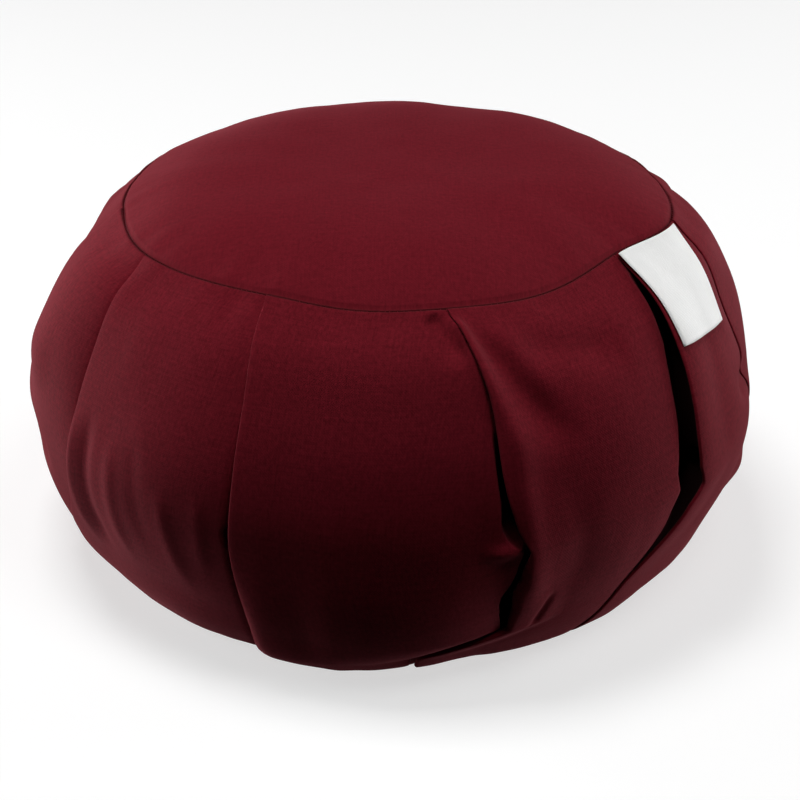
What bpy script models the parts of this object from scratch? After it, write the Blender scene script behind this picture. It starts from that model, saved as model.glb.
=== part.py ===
"""Zafu meditation cushion: a round, filled cushion of plain cotton.

A tall side band is folded into knife pleats, all lapping the same way, and sewn between a crowned
top panel and a flat bottom panel. A bare woven label hangs from the top seam on one pleat.

Frame: +Z up, the cushion rests on z = 0 with the origin under its middle, and its front faces -Y.
Sizes in the tables are millimetres and degrees. A height along the side is given as a share of the
way up the side's own curve, from 0 at the bottom seam to 1 at the top seam.
"""

from collections import namedtuple

import bpy
import numpy as np

MM = 0.001

# Driving sizes, in millimetres
SEAM_RADIUS = 132.5
SEAM_HEIGHT = 175.5
CROWN_RISE = 18.5
CROWN_POWER = 4.8
CLOTH = 2.2
GAP = 0.4
BOTTOM_RADIUS = 132.0
BOTTOM_CLOTH = 2.0
LOWEST_BAND = 0.5
LABEL_CLOTH = 1.2

# The side's outline at a pleat, from the bottom seam up to the top seam
ProfilePoint = namedtuple("ProfilePoint", "radius height")
PROFILE = (
    ProfilePoint(133.5, 1.6),
    ProfilePoint(145.5, 3.5),
    ProfilePoint(156, 14),
    ProfilePoint(166, 35),
    ProfilePoint(174.5, 61),
    ProfilePoint(177.5, 88),
    ProfilePoint(172, 114),
    ProfilePoint(162.5, 137),
    ProfilePoint(151, 158),
    ProfilePoint(SEAM_RADIUS, SEAM_HEIGHT),
)

# One row for each pleat, counter-clockwise. The *_deg columns place its lip at the top seam, then at
# the ANGLE_SHARES below it. lift_* is how far the lip stands out, valley_* how deep the panel before
# it dives beside it, each at the RISE_SHARES. wide is the width of that dive, tuck its overlap.
# Above SEAM_SHARE the side bends in to the top seam's own line.
ANGLE_SHARES = (0.0, 0.25, 0.45, 0.6, 0.8, 1.0)
RISE_SHARES = (0.0, 0.25, 0.48, 0.75, 1.0)
SEAM_SHARE = 0.72
SEWN_LIFT = 0.5
SEWN_VALLEY = 0.8
Pleat = namedtuple(
    "Pleat",
    "seam_radius seam_deg high_deg mid_deg waist_deg low_deg foot_deg"
    " lift_high lift_waist lift_low valley_high valley_waist valley_low wide tuck",
)
PLEATS = (
    Pleat(130.0, 187.0, 187.0, 188.0, 190.0, 190.0, 190.0, 2.0, 2.0, 2.0, 4.0, 5.0, 5.0, 16, 12),
    Pleat(133.5, 213.5, 214.8, 214.0, 213.0, 204.0, 199.0, 1.5, 2.0, 3.0, 3.5, 4.5, 5.0, 12, 12),
    Pleat(133.0, 245.5, 247.0, 246.8, 246.4, 248.0, 246.5, 1.5, 2.0, 5.0, 3.0, 4.5, 8.0, 12, 12),
    Pleat(134.0, 280.3, 284.2, 286.6, 290.0, 287.0, 281.0, 2.5, 3.0, 3.0, 4.0, 9.0, 12.0, 12, 12),
    Pleat(127.0, 324.8, 322.2, 320.3, 322.3, 312.0, 309.0, 5.0, 5.0, 3.0, 13.0, 17.0, 12.0, 24, 10),
    Pleat(136.0, 346.5, 341.0, 340.0, 338.0, 336.0, 335.0, 1.5, 2.0, 2.0, 4.0, 5.0, 5.0, 12, 10),
    Pleat(132.0, 379.5, 378.0, 377.5, 377.0, 376.0, 375.0, 2.0, 2.5, 2.5, 4.0, 6.0, 6.0, 14, 12),
    Pleat(133.0, 413.0, 412.0, 411.5, 411.0, 410.5, 410.0, 1.5, 2.0, 3.0, 3.5, 5.0, 6.5, 12, 12),
    Pleat(131.5, 446.5, 446.0, 446.5, 447.0, 446.0, 445.0, 2.0, 3.0, 3.0, 4.5, 7.0, 8.0, 14, 12),
    Pleat(133.0, 480.0, 480.5, 481.0, 481.0, 480.0, 479.5, 1.5, 2.0, 2.5, 3.5, 5.0, 6.0, 12, 12),
    Pleat(132.0, 514.0, 514.5, 515.0, 515.5, 515.0, 514.0, 2.0, 2.5, 2.5, 4.0, 5.5, 6.0, 14, 12),
)

# One row for each panel of the band, from its own pleat to the next. puff_* is how far its middle
# swells, drop how far the top seam sags there.
Panel = namedtuple("Panel", "puff_high puff_waist puff_low drop")
PANELS = (
    Panel(9.0, 1.5, 4.0, 0.0),
    Panel(4.0, 4.5, 0.0, 0.0),
    Panel(4.0, 5.0, 11.0, 2.5),
    Panel(4.0, 4.5, 2.0, 1.0),
    Panel(3.0, 4.0, -1.5, 0.0),
    Panel(4.0, 0.5, 8.0, 0.0),
    Panel(4.5, 4.0, 4.0, 0.5),
    Panel(4.0, 4.5, 5.0, 1.0),
    Panel(4.0, 4.0, 3.0, 0.5),
    Panel(4.0, 4.5, 5.0, 1.0),
    Panel(-1.0, 5.0, 4.0, 0.5),
)

# Soft ridges (rise above 0) and troughs (below 0) that run across a panel between two places
Crease = namedtuple("Crease", "start_deg start_share end_deg end_share width rise")
CREASES = (
    Crease(281.0, 1.00, 299.0, 0.50, 9, 4.5),
    Crease(286.0, 1.00, 313.0, 0.58, 10, -4.5),
    Crease(292.0, 0.94, 318.0, 0.92, 7, -2.0),
    Crease(284.0, 0.45, 291.0, 0.45, 5, 6.0),
    Crease(222.0, 0.64, 218.0, 0.16, 6, 2.0),
    Crease(227.0, 0.66, 225.0, 0.14, 6, -2.0),
    Crease(233.0, 0.60, 232.0, 0.14, 7, 1.5),
    Crease(24.0, 0.92, 36.0, 0.55, 11, 2.0),
    Crease(62.0, 0.55, 58.0, 0.15, 8, -2.0),
    Crease(92.0, 0.95, 106.0, 0.60, 9, 2.5),
    Crease(130.0, 0.60, 136.0, 0.15, 8, -2.0),
    Crease(160.0, 0.94, 173.0, 0.62, 10, 2.0),
)

# The label: distances along the cloth from the lip of its pleat, and down from the seam
LABEL_PLEAT = 4
LABEL_LEFT_TOP = -1.0
LABEL_LEFT_FOOT = 1.5
LABEL_WIDTH_TOP = 47.0
LABEL_WIDTH_FOOT = 44.0
LABEL_TOP = 0.8
LABEL_LENGTH = 47.0
LABEL_STEPS = 8
# It lies flat no nearer to the next pleat than this
LABEL_REACH = 8.0

BURGUNDY = (0.133, 0.0097, 0.0168, 1.0)
WHITE = (0.88, 0.88, 0.86, 1.0)

PANEL_COUNT = len(PLEATS)
PROFILE_WAY = np.cumsum(np.hypot(*np.diff(np.array(PROFILE), axis=0).T))
SIDE_LENGTH = PROFILE_WAY[-1]
# Rows of points up the side, closer together at the seams
ROW_SHARES = (
    0.0, 0.02, 0.06, 0.11, 0.17, 0.24, 0.31, 0.38, 0.44, 0.5,
    0.56, 0.62, 0.68, 0.74, 0.8, 0.86, 0.91, 0.95, 0.98, 1.0,
)
# Columns across a panel: millimetres from its lip, shares of the flat middle, shares of the dive,
# then shares of the tuck on its floor and on the underside of the next lip
LIP_COLUMNS = (0.0, 1.6, 5.0)
MIDDLE_COLUMNS = (0.1, 0.21, 0.33, 0.45, 0.58, 0.71, 0.85, 1.0)
DIVE_COLUMNS = (0.6, 0.3, 0.12)
FLOOR_COLUMNS = (0.0, 1.0)
ROOF_COLUMNS = (1.0, 0.12)
# A pleat's lip is rounded off and its cloth this thick; the slot under it narrows to SLOT_GAP, and
# close to a seam, within SHUT_SHARE of the way, it shuts into a crease between these two places
LIP_ROUND = 0.9
LIP_CLOTH = 1.8
SLOT_DEPTH = 0.6
SLOT_GAP = 0.9
SHUT_SHARE = 0.04
SHUT_SLOT = (-0.55, -0.1)
# Rings of the crown, as shares of the seam's radius: the filling's, then the top panel's
FILLING_SHARES = (0.955, 0.8, 0.5)
CROWN_SHARES = (0.955, 0.88, 0.76, 0.58, 0.32)
RIM_SHARE = 0.985
TOP_COLUMNS = 80
BOTTOM_COLUMNS = 48


def smooth(x):
    x = np.clip(x, 0.0, 1.0)
    return x * x * (3 - 2 * x)


def through(stations, values, at):
    """A smooth curve through values at stations, read at the given places."""
    stations = np.asarray(stations, float)
    values = np.asarray(values, float)
    slope = np.gradient(values, stations)
    k = np.clip(np.searchsorted(stations, at) - 1, 0, len(stations) - 2)
    step = stations[k + 1] - stations[k]
    u = (at - stations[k]) / step
    return (
        values[k] * (1 + 2 * u) * (1 - u) ** 2
        + values[k + 1] * u * u * (3 - 2 * u)
        + step * slope[k] * u * (1 - u) ** 2
        - step * slope[k + 1] * u * u * (1 - u)
    )


def profile(share):
    """(radius, height, outward radial part, outward upward part) of the side at a share of its way up."""
    points = np.array(PROFILE)
    shares = np.concatenate([[0], PROFILE_WAY]) / SIDE_LENGTH
    step = 0.002
    low, here, high = (
        np.array([through(shares, points[:, k], np.clip(share + d, 0, 1)) for k in (0, 1)])
        for d in (-step, 0.0, step)
    )
    along = high - low
    along /= np.hypot(*along)
    return here[0], here[1], along[1], -along[0]


def lip_deg(i, share):
    """Angle of pleat i's lip at a share of the way up, counted on past 360 when i wraps round."""
    p = PLEATS[i % PANEL_COUNT]
    stations = (p.foot_deg, p.low_deg, p.waist_deg, p.mid_deg, p.high_deg, p.seam_deg)
    return through(ANGLE_SHARES, stations, share) + 360 * (i // PANEL_COUNT)


def rise_at(sewn, low, waist, high, share):
    return through(RISE_SHARES, (sewn, low, waist, high, sewn), share)


def seam_point(deg):
    """(radius, height) of the top seam: nearly a circle, drawn straighter between pleats and sagging."""
    deg = np.asarray(deg, float)
    radius = np.zeros(deg.shape)
    height = np.full(deg.shape, SEAM_HEIGHT)
    for i, panel in enumerate(PANELS):
        a, b = lip_deg(i, 1.0), lip_deg(i + 1, 1.0)
        q = ((deg - a) % 360) / (b - a)
        here = q < 1
        start = PLEATS[i].seam_radius
        end = PLEATS[(i + 1) % PANEL_COUNT].seam_radius
        radius[here] = (start + (end - start) * smooth(q))[here]
        height[here] -= (panel.drop * np.sin(np.pi * q) ** 2)[here]
    return radius, height


def crease_rise(deg, share):
    """The sum of the creases at a place on the band."""
    total = np.zeros(np.broadcast(deg, share).shape)
    for c in CREASES:
        radius, _, _, _ = profile(0.5 * (c.start_share + c.end_share))
        run = np.array([np.radians(c.end_deg - c.start_deg) * radius,
                        (c.end_share - c.start_share) * SIDE_LENGTH])
        length = np.hypot(*run)
        run /= length
        x = np.radians((deg - c.start_deg + 180) % 360 - 180) * radius
        y = (share - c.start_share) * SIDE_LENGTH
        along = (x * run[0] + y * run[1]) / length
        across = x * run[1] - y * run[0]
        fade = smooth(along / 0.25) * smooth((1 - along) / 0.35)
        total += c.rise * fade * np.exp(-((across / c.width) ** 2))
    return total


def outer_rise(i, from_lip, to_next, share):
    """How far panel i's cloth stands off the profile, at millimetres from its lip and to the next."""
    p, n, panel = PLEATS[i % PANEL_COUNT], PLEATS[(i + 1) % PANEL_COUNT], PANELS[i % PANEL_COUNT]
    q = np.clip(from_lip / (from_lip + to_next), 0, 1)
    puff = rise_at(0.0, panel.puff_low, panel.puff_waist, panel.puff_high, share)
    lift = rise_at(SEWN_LIFT, p.lift_low, p.lift_waist, p.lift_high, share)
    valley = rise_at(SEWN_VALLEY, n.valley_low, n.valley_waist, n.valley_high, share)
    dive = 1 - np.clip(to_next / n.wide, 0, 1)
    return (
        puff * np.sin(np.pi * q) ** 0.7
        + lift * (1 - smooth(from_lip / 30))
        - valley * (1 - np.sqrt(1 - 0.995 * dive**2))
    )


def panel_section(i, share):
    """(angles, rises) across panel i at one share, from its lip to the underside of the next lip."""
    n = PLEATS[(i + 1) % PANEL_COUNT]
    a, b = lip_deg(i, share), lip_deg(i + 1, share)
    radius, _, _, _ = profile(share)
    per_mm = np.degrees(1 / radius)
    width = (b - a) / per_mm
    sewn = 1 - smooth(share / SHUT_SHARE) * smooth((1 - share) / SHUT_SHARE)

    lip_end = LIP_COLUMNS[-1]
    dive_start = width - n.wide
    outer = np.concatenate([
        LIP_COLUMNS,
        lip_end + (dive_start - lip_end) * np.array(MIDDLE_COLUMNS),
        width - n.wide * np.array(DIVE_COLUMNS),
    ])
    degs = a + outer * per_mm
    rises = outer_rise(i, outer, width - outer, share) + crease_rise(degs, share)
    rises[0] -= LIP_ROUND * (1 - 0.9 * sewn)

    floor = float(outer_rise(i, width, 0.0, share))
    lift = rise_at(SEWN_LIFT, n.lift_low, n.lift_waist, n.lift_high, share)
    roof = lift - SLOT_DEPTH - LIP_CLOTH * (1 - sewn)
    slot_end = floor - SLOT_DEPTH
    floor_x = n.tuck * np.array(FLOOR_COLUMNS)
    roof_x = n.tuck * np.array(ROOF_COLUMNS)
    open_x = np.concatenate([floor_x, roof_x])
    open_rise = np.concatenate([
        floor + (slot_end - floor) * np.array(FLOOR_COLUMNS),
        slot_end + SLOT_GAP
        + (max(roof, floor + SLOT_GAP) - slot_end - SLOT_GAP) * (1 - np.array(ROOF_COLUMNS)) ** 0.7,
    ])
    shut_x = np.linspace(*SHUT_SLOT, len(open_x))
    shut_rise = np.full(len(open_x), floor)
    slot_x = open_x * (1 - sewn) + shut_x * sewn
    slot_rise = open_rise * (1 - sewn) + shut_rise * sewn
    return np.concatenate([degs, b + slot_x * per_mm]), np.concatenate([rises, slot_rise])


def band_points(degs, rises, share):
    """Points on the band at one share: the profile, moved to the seam's own line near the top."""
    radius, height, out, up = profile(share)
    seam_radius, seam_height = seam_point(degs)
    near_seam = smooth((share - SEAM_SHARE) / (1 - SEAM_SHARE))
    r = radius + rises * out + (seam_radius - SEAM_RADIUS) * near_seam
    z = height + rises * up + (seam_height - SEAM_HEIGHT) * near_seam
    turn = np.radians(degs)
    return np.stack([r * np.cos(turn), r * np.sin(turn), np.maximum(z, LOWEST_BAND)], axis=-1)


def crown_ring(degs, ratio, below):
    """A ring of the crown at a share of the seam's radius, lowered by the given depth."""
    seam_radius, seam_height = seam_point(degs)
    r = seam_radius * ratio
    sag = (seam_height - SEAM_HEIGHT) * ratio**2
    z = SEAM_HEIGHT + sag + CROWN_RISE * (1 - ratio**CROWN_POWER) - below
    turn = np.radians(degs)
    return np.stack([r * np.cos(turn), r * np.sin(turn), z], axis=-1)


def seam_ring(degs, inset, below):
    """A ring a little inside and below the top seam."""
    seam_radius, seam_height = seam_point(degs)
    r = seam_radius - inset
    turn = np.radians(degs)
    return np.stack([r * np.cos(turn), r * np.sin(turn), seam_height - below], axis=-1)


def flat_ring(degs, radius, height):
    turn = np.radians(degs)
    return np.stack([radius * np.cos(turn), radius * np.sin(turn), np.full(len(degs), height)], axis=-1)


def ring_solid(name, rings, material):
    """A closed solid from rings of equal length, joined in order, each end shut by a fan to its middle.

    Rings run counter-clockwise from above. The first is the lowest end of the skin, the last the end
    of its top, so that faces point out.
    """
    count = len(rings[0])
    points = [p * MM for ring in rings for p in ring]
    faces = []
    for k in range(len(rings) - 1):
        for j in range(count):
            a, b = k * count + j, k * count + (j + 1) % count
            faces.append((a, b, b + count, a + count))
    for k, turned in ((0, True), (len(rings) - 1, False)):
        middle = len(points)
        points.append(np.mean(rings[k], axis=0) * MM)
        for j in range(count):
            a, b = k * count + j, k * count + (j + 1) % count
            faces.append((b, a, middle) if turned else (a, b, middle))
    return new_object(name, points, faces, material)


def new_object(name, points, faces, material):
    mesh = bpy.data.meshes.new(name)
    mesh.from_pydata([tuple(p) for p in points], [], faces)
    mesh.materials.append(material)
    mesh.shade_smooth()
    mesh.set_sharp_from_angle(angle=np.radians(50))
    mesh.update()
    made = bpy.data.objects.new(name, mesh)
    bpy.context.scene.collection.objects.link(made)
    return made


def cloth_material(name, colour, roughness):
    material = bpy.data.materials.new(name)
    material.use_nodes = True
    shader = material.node_tree.nodes["Principled BSDF"]
    shader.inputs["Base Color"].default_value = colour
    shader.inputs["Roughness"].default_value = roughness
    shader.inputs["Metallic"].default_value = 0.0
    return material


def build_band(material):
    """The pleated side band with the filling's solid form, up to a crown beneath the top panel."""
    rings = []
    for share in ROW_SHARES:
        sections = [panel_section(i, share) for i in range(PANEL_COUNT)]
        degs = np.concatenate([s[0] for s in sections])
        rises = np.concatenate([s[1] for s in sections])
        rings.append(band_points(degs, rises, share))
    seam_degs = np.concatenate([panel_section(i, 1.0)[0] for i in range(PANEL_COUNT)])
    foot_degs = np.concatenate([panel_section(i, 0.0)[0] for i in range(PANEL_COUNT)])
    inner_height = BOTTOM_CLOTH + GAP
    under = [flat_ring(foot_degs, BOTTOM_RADIUS + GAP, inner_height)]
    groove = [
        seam_ring(seam_degs, 0.9, 1.6),
        seam_ring(seam_degs, 1.0, CLOTH + 1.6),
        seam_ring(seam_degs, 3.4, CLOTH + 1.0),
    ]
    crown = [crown_ring(seam_degs, ratio, CLOTH + 2 * GAP) for ratio in FILLING_SHARES]
    return ring_solid("side_band", under + rings + groove + crown, material)


def build_top_panel(material):
    """The crowned top panel, a thin disc with its rim turned down into the seam."""
    degs = np.linspace(0, 360, TOP_COLUMNS, endpoint=False)
    under = [crown_ring(degs, ratio, CLOTH) for ratio in reversed(CROWN_SHARES)]
    rim = [seam_ring(degs, 2.6, CLOTH + 0.2), seam_ring(degs, 1.8, CLOTH), seam_ring(degs, 1.5, 0.9)]
    over = [crown_ring(degs, ratio, 0.0) for ratio in (RIM_SHARE,) + CROWN_SHARES]
    return ring_solid("top_panel", under + rim + over, material)


def build_bottom_panel(material):
    degs = np.linspace(0, 360, BOTTOM_COLUMNS, endpoint=False)
    edge = 0.5
    rings = [
        flat_ring(degs, BOTTOM_RADIUS - edge, 0.0),
        flat_ring(degs, BOTTOM_RADIUS, edge),
        flat_ring(degs, BOTTOM_RADIUS, BOTTOM_CLOTH - edge),
        flat_ring(degs, BOTTOM_RADIUS - edge, BOTTOM_CLOTH),
    ]
    return ring_solid("bottom_panel", rings, material)


def build_label(material):
    """The bare woven label, lying on the panel after its pleat from the top seam down."""
    steps = np.linspace(0, 1, LABEL_STEPS)
    layers = []
    for clear in (GAP, GAP + LABEL_CLOTH):
        grid = []
        for step in steps:
            share = 1 - (LABEL_TOP + LABEL_LENGTH * step) / SIDE_LENGTH
            radius, _, _, _ = profile(share)
            per_mm = np.degrees(1 / radius)
            left = LABEL_LEFT_TOP + (LABEL_LEFT_FOOT - LABEL_LEFT_TOP) * step
            width = LABEL_WIDTH_TOP + (LABEL_WIDTH_FOOT - LABEL_WIDTH_TOP) * step
            a, b = lip_deg(LABEL_PLEAT, share), lip_deg(LABEL_PLEAT + 1, share)
            from_lip = left + width * steps
            to_next = np.maximum((b - a) / per_mm - from_lip, LABEL_REACH)
            rises = outer_rise(LABEL_PLEAT, np.maximum(from_lip, 0.0), to_next, share)
            grid.append(band_points(a + from_lip * per_mm, rises + clear, share))
        layers.append(grid)
    rows, cols = LABEL_STEPS, LABEL_STEPS
    points = [p * MM for grid in layers for row in grid for p in row]
    faces = []

    def at(layer, row, col):
        return (layer * rows + row) * cols + col

    for row in range(rows - 1):
        for col in range(cols - 1):
            corners = ((row, col), (row + 1, col), (row + 1, col + 1), (row, col + 1))
            faces.append(tuple(at(1, r, c) for r, c in corners))
            faces.append(tuple(at(0, r, c) for r, c in reversed(corners)))
    edge = [(0, c) for c in range(cols)] + [(r, cols - 1) for r in range(1, rows)]
    edge += [(rows - 1, c) for c in range(cols - 2, -1, -1)] + [(r, 0) for r in range(rows - 2, 0, -1)]
    for (r0, c0), (r1, c1) in zip(edge, edge[1:] + edge[:1]):
        faces.append((at(0, r0, c0), at(1, r0, c0), at(1, r1, c1), at(0, r1, c1)))
    return new_object("label", points, faces, material)


def main():
    for old in list(bpy.data.objects):
        bpy.data.objects.remove(old)
    build_band(cloth_material("band_cotton", BURGUNDY, 0.9))
    build_top_panel(cloth_material("top_cotton", BURGUNDY, 0.9))
    build_bottom_panel(cloth_material("bottom_cotton", BURGUNDY, 0.9))
    build_label(cloth_material("label_weave", WHITE, 0.7))


main()
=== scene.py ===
"""Zafu meditation cushion: the looks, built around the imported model.

The pleated band, the two panels, the stitching and the bare label are each their own piece. Sizes in
the tables are millimetres and degrees, in the model's own frame: +Z up, resting on z = 0, front -Y.
A height along the side is a share of the way up its curve, 0 at the bottom seam and 1 at the top.
"""

from collections import namedtuple

import bpy
import numpy as np
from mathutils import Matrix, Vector


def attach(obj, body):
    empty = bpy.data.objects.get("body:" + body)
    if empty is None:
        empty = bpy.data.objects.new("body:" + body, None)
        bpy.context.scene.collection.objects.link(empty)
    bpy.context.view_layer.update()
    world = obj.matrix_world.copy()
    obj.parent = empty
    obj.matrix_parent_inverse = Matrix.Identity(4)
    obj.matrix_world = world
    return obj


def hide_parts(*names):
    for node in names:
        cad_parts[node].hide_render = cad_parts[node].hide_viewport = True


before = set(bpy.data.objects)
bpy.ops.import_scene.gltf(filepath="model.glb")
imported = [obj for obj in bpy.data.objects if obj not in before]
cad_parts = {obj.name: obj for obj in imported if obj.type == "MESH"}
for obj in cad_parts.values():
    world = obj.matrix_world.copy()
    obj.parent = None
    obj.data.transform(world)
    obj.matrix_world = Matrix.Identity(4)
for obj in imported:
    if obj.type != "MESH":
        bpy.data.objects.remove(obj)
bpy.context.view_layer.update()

MM = 0.001

# ---------------- the form, as in the solids

SEAM_RADIUS = 132.5
SEAM_HEIGHT = 175.5
CROWN_RISE = 18.5
CROWN_POWER = 4.8
BOTTOM_RADIUS = 132.0
# None of the band comes below this, and above this share it leans over to the top seam's own line
LOWEST_BAND = 0.5
SEAM_SHARE = 0.72

Point = namedtuple("Point", "radius height")
PROFILE = (
    Point(133.5, 1.6),
    Point(145.5, 3.5),
    Point(156, 14),
    Point(166, 35),
    Point(174.5, 61),
    Point(177.5, 88),
    Point(172, 114),
    Point(162.5, 137),
    Point(151, 158),
    Point(SEAM_RADIUS, SEAM_HEIGHT),
)
PROFILE_WAY = np.cumsum(np.hypot(*np.diff(np.array(PROFILE), axis=0).T))
SIDE_LENGTH = PROFILE_WAY[-1]

# One row a pleat. *_deg: its lip's angle at the top seam, then at the ANGLE_SHARES below. stand: how far
# the side stands out there, on both sides of it. lift_*: how far the lip stands off that, valley_*: how
# deep the panel before it dives, each at the RISE_SHARES. wide, wide_low: the width of that dive up high
# and down low. tuck: how far the fold overlaps.
ANGLE_SHARES = (0.0, 0.25, 0.45, 0.6, 0.8, 1.0)
RISE_SHARES = (0.0, 0.25, 0.48, 0.75, 1.0)
SEWN_LIFT = 0.5
SEWN_VALLEY = 0.8
Pleat = namedtuple(
    "Pleat",
    "seam_radius seam_deg high_deg mid_deg waist_deg low_deg foot_deg"
    " stand lift_high lift_waist lift_low valley_high valley_waist valley_low wide wide_low tuck",
)
PLEATS = (
    Pleat(130.0, 187.0, 187.0, 188.0, 190.0, 190.0, 190.0, 0, 2.0, 2.0, 2.0, 4.0, 5.0, 5.0, 16, 16, 12),
    Pleat(133.5, 213.5, 215.5, 215.5, 214.2, 206.0, 199.0, 3, 0.7, 1.8, 2.5, 0.6, 1.0, 4.0, 4, 8, 12),
    Pleat(130.0, 245.5, 247.5, 247.4, 246.9, 248.0, 246.5, 4, 0.8, 1.4, 5.0, 0.8, 2.5, 4.5, 5, 8, 12),
    Pleat(135.0, 280.3, 284.4, 285.8, 288.4, 288.2, 288.0, 4, 1.5, 3.5, 4.5, 3.2, 2.2, 1.5, 9, 5, 12),
    Pleat(125.0, 324.8, 321.2, 319.6, 319.4, 310.6, 303.0, 2, 5.0, 4.5, 0.8, 3.0, 3.0, 1.5, 20, 7, 18),
    Pleat(136.0, 346.8, 345.0, 346.0, 350.0, 351.0, 350.0, 0, 0.6, 0.9, 0.8, 0.2, 0.5, 0.8, 5, 6, 10),
    Pleat(132.0, 379.5, 378.0, 377.5, 377.0, 376.0, 375.0, 1, 1.5, 2.0, 2.5, 3.0, 5.0, 6.0, 10, 12, 12),
    Pleat(133.0, 413.0, 412.0, 411.5, 411.0, 410.5, 410.0, 3, 0.8, 1.2, 3.0, 0.9, 2.5, 6.5, 6, 10, 12),
    Pleat(131.5, 446.5, 446.0, 446.5, 447.0, 446.0, 445.0, 2, 1.5, 3.0, 3.0, 2.5, 6.0, 8.0, 10, 13, 12),
    Pleat(131.5, 480.0, 480.5, 481.0, 481.0, 480.0, 479.5, 1, 0.8, 1.2, 2.5, 0.9, 2.5, 6.0, 6, 10, 12),
    Pleat(130.0, 514.0, 514.5, 515.0, 515.5, 515.0, 514.0, 0, 1.2, 2.0, 2.5, 2.0, 4.0, 6.0, 8, 12, 12),
)
PANEL_COUNT = len(PLEATS)
# How much of its stand a pleat has at these shares
STAND_SHARES = (0.0, 0.25, 0.5, 0.85, 1.0)
STAND_RISE = (0.0, 0.1, 0.9, 1.0, 0.0)
# Up to LOW_END the side has its low form: dives of wide_low, and puffs with full flanks, a half sine to a
# power below 1. The high form takes over within the next DIVE_CHANGE and PUFF_CHANGE of the way up.
LOW_END = 0.25
DIVE_CHANGE = 0.2
PUFF_CHANGE = 0.25
LOW_PUFF_POWER = 0.7
PUFF_POWER_GAIN = 0.3
# How far over its panel a lip's lift reaches
LIFT_REACH = 30
# Below 1, so that cloth that turns down over a quarter circle never stands quite upright
STEEPEST_DIVE = 0.995
STEEPEST_ROLL = 0.98

# Where a lip turns a corner: by how many degrees, at a share and within reach of it
Kink = namedtuple("Kink", "pleat share reach turn")
KINKS = (
    Kink(3, 0.465, 0.050, 0.9),
    Kink(3, 0.340, 0.050, -0.6),
    Kink(3, 0.140, 0.075, -14.0),
    Kink(3, 0.065, 0.075, -14.0),
    Kink(4, 0.474, 0.045, 1.3),
)

# The hollow that opens before a pleat's lip, one row a height: its width there, its depth, how wide its
# far wall leans, and how much softer the lip beside it rolls in
Hollow = namedtuple("Hollow", "pleat share width depth wall roll", defaults=(0.0,))
HOLLOWS = (
    Hollow(2, 0.440, 0.0, 0.0, 2.2),
    Hollow(2, 0.465, 2.5, 5.0, 2.2),
    Hollow(2, 0.485, 2.5, 5.0, 2.2),
    Hollow(2, 0.510, 0.0, 0.0, 2.2),
    Hollow(3, 0.040, 0.0, 0.0, 2.2),
    Hollow(3, 0.080, 0.5, 4.0, 2.2, 0.5),
    Hollow(3, 0.200, 0.5, 4.0, 2.2, 0.5),
    Hollow(3, 0.220, 0.6, 6.0, 2.2, 1.0),
    Hollow(3, 0.250, 2.2, 8.0, 2.2, 1.5),
    Hollow(3, 0.276, 3.8, 9.0, 2.2, 2.0),
    Hollow(3, 0.311, 4.8, 10.0, 2.2, 2.5),
    Hollow(3, 0.340, 3.2, 10.0, 2.2, 2.5),
    Hollow(3, 0.359, 1.4, 10.0, 2.2, 2.5),
    Hollow(3, 0.409, 0.2, 9.0, 1.6, 2.0),
    Hollow(3, 0.440, 0.0, 6.0, 1.5, 1.0),
    Hollow(3, 0.455, 0.0, 2.0, 1.5, 0.4),
    Hollow(3, 0.466, 1.0, 1.5, 2.2),
    Hollow(3, 0.478, 3.2, 3.5, 2.6),
    Hollow(3, 0.490, 4.0, 7.0, 2.8),
    Hollow(3, 0.507, 4.0, 10.5, 2.8),
    Hollow(3, 0.536, 2.8, 11.0, 2.8),
    Hollow(3, 0.560, 1.4, 10.5, 2.6),
    Hollow(3, 0.578, 0.4, 10.0, 2.4),
    Hollow(3, 0.621, 0.0, 8.0, 2.0),
    Hollow(3, 0.660, 0.0, 4.0, 1.8),
    Hollow(3, 0.720, 0.0, 0.0, 1.8),
    Hollow(4, 0.290, 0.0, 0.0, 3.0),
    Hollow(4, 0.340, 0.0, 4.0, 3.0),
    Hollow(4, 0.380, 1.5, 8.0, 4.5),
    Hollow(4, 0.420, 4.0, 11.0, 5.5),
    Hollow(4, 0.450, 6.2, 12.0, 6.0),
    Hollow(4, 0.474, 7.2, 12.0, 6.0),
    Hollow(4, 0.500, 6.8, 12.0, 6.0),
    Hollow(4, 0.535, 5.2, 12.0, 6.0),
    Hollow(4, 0.570, 3.0, 12.0, 6.0),
    Hollow(4, 0.620, 1.0, 12.0, 6.0),
    Hollow(4, 0.700, 0.6, 12.0, 6.0),
    Hollow(4, 0.750, 0.5, 11.0, 5.0),
    Hollow(4, 0.800, 0.0, 8.0, 2.5),
    Hollow(4, 0.870, 0.0, 5.0, 1.8),
    Hollow(4, 0.950, 0.0, 0.0, 1.8),
)
# The least width of a hollow's wall, of the columns over its floor and of the dive down to it
LEAST_WALL = 1.5
LEAST_FLOOR = 0.8
LEAST_DIVE = 1
# How many widths of its wall the painted shade reaches out of a hollow, and the depth at which a hollow's
# painted shade is full
PAINTED_SHADE_REACH = 0.3
FULL_SHADE_DEPTH = 18.0

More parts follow.
